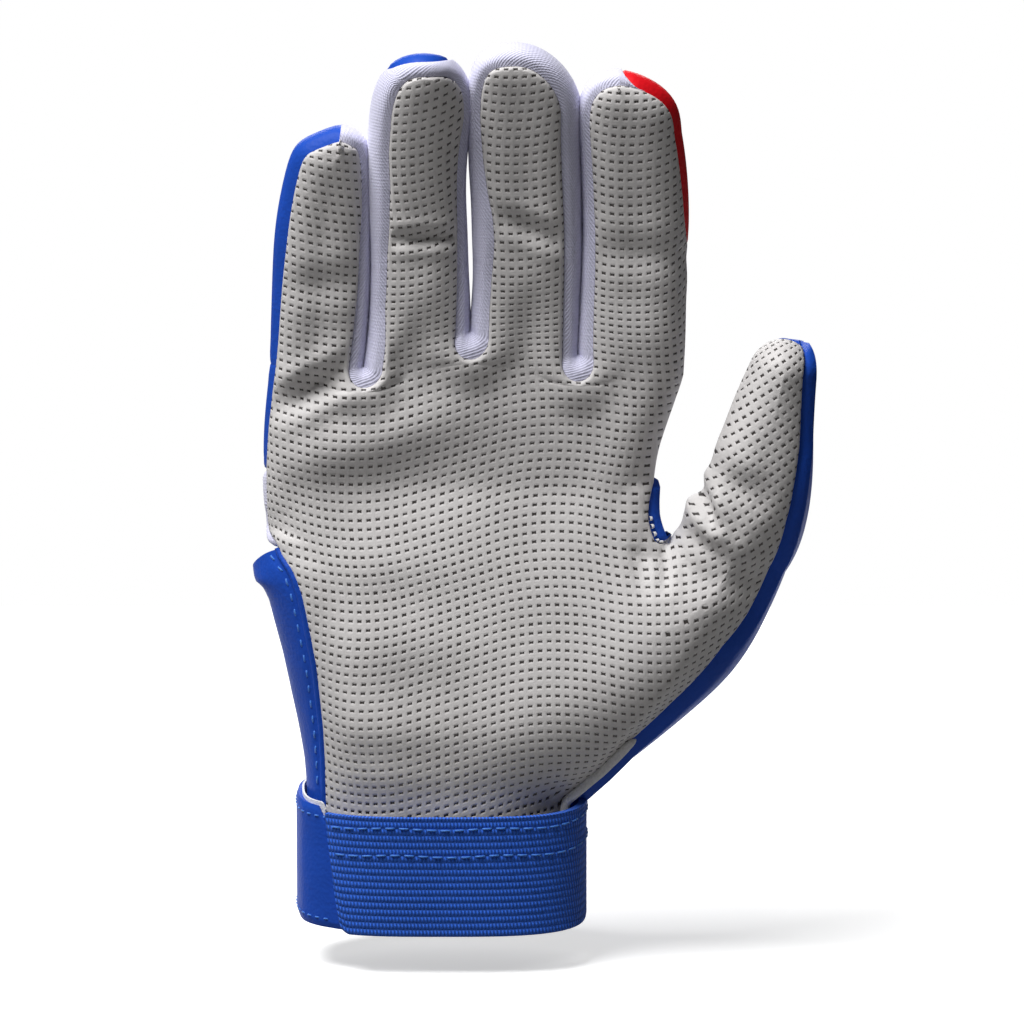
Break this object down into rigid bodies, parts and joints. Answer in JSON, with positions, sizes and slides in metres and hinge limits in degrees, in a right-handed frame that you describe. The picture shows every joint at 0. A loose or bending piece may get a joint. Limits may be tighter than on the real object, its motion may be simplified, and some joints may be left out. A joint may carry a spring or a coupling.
{
  "type": "batting glove",
  "caption": "Right-hand batting glove sewn from perforated palm leather, coloured backs and knit finger sides, with bending fingers and a wrist strap.",
  "frame": {"origin": "centre of the wrist mouth, on the plane of the cuff's lower edge", "axes": "+Z from the cuff to the fingertips, +X across the palm to the thumb, -Y out of the palm, +Y out of the back"},
  "size_m": [0.1327, 0.0479, 0.2148],
  "materials": {
    "palm_leather": "perforated matte synthetic leather, warm light grey",
    "blue_leather": "smooth royal blue synthetic leather",
    "red_leather": "smooth bright red synthetic leather",
    "white_leather": "smooth white synthetic leather",
    "white_knit": "fine ribbed white stretch knit",
    "blue_elastic": "ribbed royal blue woven elastic",
    "hook_tape": "black hook tape",
    "loop_tape": "navy loop tape",
    "pale_binding": "pale grey folded binding"
  },
  "bodies": {
    "hand": {"palm_panel": "palm_leather", "wrist_panel": "blue_leather", "back_knit_panel": "white_knit", "knuckle_panel": "blue_leather", "thumb_base_panel": "blue_leather", "vent_facing": "blue_leather", "pinky_ring_fourchette": "white_knit", "ring_middle_fourchette": "white_knit", "middle_index_fourchette": "white_knit", "wrist_binding": "pale_binding", "cuff_elastic": "blue_elastic", "strap_anchor": "blue_leather", "loop_patch": "loop_tape"},
    "strap": {"closure_strap": "blue_leather", "hook_patch": "hook_tape"},
    "pinky_lower": {"pinky_lower_front": "palm_leather", "pinky_lower_back": "blue_leather", "pinky_lower_right_gusset": "white_knit"},
    "pinky_upper": {"pinky_upper_front": "palm_leather", "pinky_upper_back": "blue_leather", "pinky_tip_gusset": "white_knit"},
    "ring_lower": {"ring_lower_front": "palm_leather", "ring_lower_back": "blue_leather", "ring_lower_left_gusset": "white_knit", "ring_lower_right_gusset": "white_knit"},
    "ring_upper": {"ring_upper_front": "palm_leather", "ring_upper_back": "blue_leather", "ring_tip_gusset": "white_knit"},
    "middle_lower": {"middle_lower_front": "palm_leather", "middle_lower_back": "white_leather", "middle_lower_left_gusset": "white_knit", "middle_lower_right_gusset": "white_knit"},
    "middle_upper": {"middle_upper_front": "palm_leather", "middle_upper_back": "white_leather", "middle_tip_gusset": "white_knit"},
    "index_lower": {"index_lower_front": "palm_leather", "index_lower_back": "red_leather", "index_lower_left_gusset": "white_knit"},
    "index_upper": {"index_upper_front": "palm_leather", "index_upper_back": "red_leather", "index_tip_gusset": "white_knit"},
    "thumb_lower": {"thumb_lower_front": "palm_leather", "thumb_lower_back": "blue_leather"},
    "thumb_upper": {"thumb_upper_front": "palm_leather", "thumb_upper_back": "blue_leather"}
  },
  "joints": [
    {"name": "strap_peel", "type": "hinge", "parent": "hand", "child": "strap", "pos_m": [-0.03045, 0.01115, 0.0145], "axis": [0, 0, 1], "range_deg": [0, 110]},
    {"name": "pinky_knuckle", "type": "hinge", "parent": "hand", "child": "pinky_lower", "pos_m": [-0.0296, -0.00945, 0.1399], "axis": [1, 0, 0], "range_deg": [0, 70]},
    {"name": "pinky_middle_joint", "type": "hinge", "parent": "pinky_lower", "child": "pinky_upper", "pos_m": [-0.0289, -0.0097, 0.1579], "axis": [1, 0, 0], "range_deg": [0, 80]},
    {"name": "ring_knuckle", "type": "hinge", "parent": "hand", "child": "ring_lower", "pos_m": [-0.0046, -0.00945, 0.149], "axis": [1, 0, 0], "range_deg": [0, 70]},
    {"name": "ring_middle_joint", "type": "hinge", "parent": "ring_lower", "child": "ring_upper", "pos_m": [-0.0047, -0.01045, 0.167], "axis": [1, 0, 0], "range_deg": [0, 80]},
    {"name": "middle_knuckle", "type": "hinge", "parent": "hand", "child": "middle_lower", "pos_m": [0.0198, -0.00945, 0.149], "axis": [1, 0, 0], "range_deg": [0, 70]},
    {"name": "middle_middle_joint", "type": "hinge", "parent": "middle_lower", "child": "middle_upper", "pos_m": [0.01975, -0.01077, 0.17], "axis": [1, 0, 0], "range_deg": [0, 80]},
    {"name": "index_knuckle", "type": "hinge", "parent": "hand", "child": "index_lower", "pos_m": [0.0473, -0.00945, 0.1432], "axis": [1, 0, 0], "range_deg": [0, 70]},
    {"name": "index_middle_joint", "type": "hinge", "parent": "index_lower", "child": "index_upper", "pos_m": [0.0471, -0.01025, 0.1648], "axis": [1, 0, 0], "range_deg": [0, 80]},
    {"name": "thumb_base_joint", "type": "hinge", "parent": "hand", "child": "thumb_lower", "pos_m": [0.07027, -0.0159, 0.09733], "axis": [0.9217, 0, -0.3878], "range_deg": [0, 40]},
    {"name": "thumb_tip_joint", "type": "hinge", "parent": "thumb_lower", "child": "thumb_upper", "pos_m": [0.07669, -0.01786, 0.1153], "axis": [0.9603, 0, -0.2791], "range_deg": [0, 55]}
  ]
}
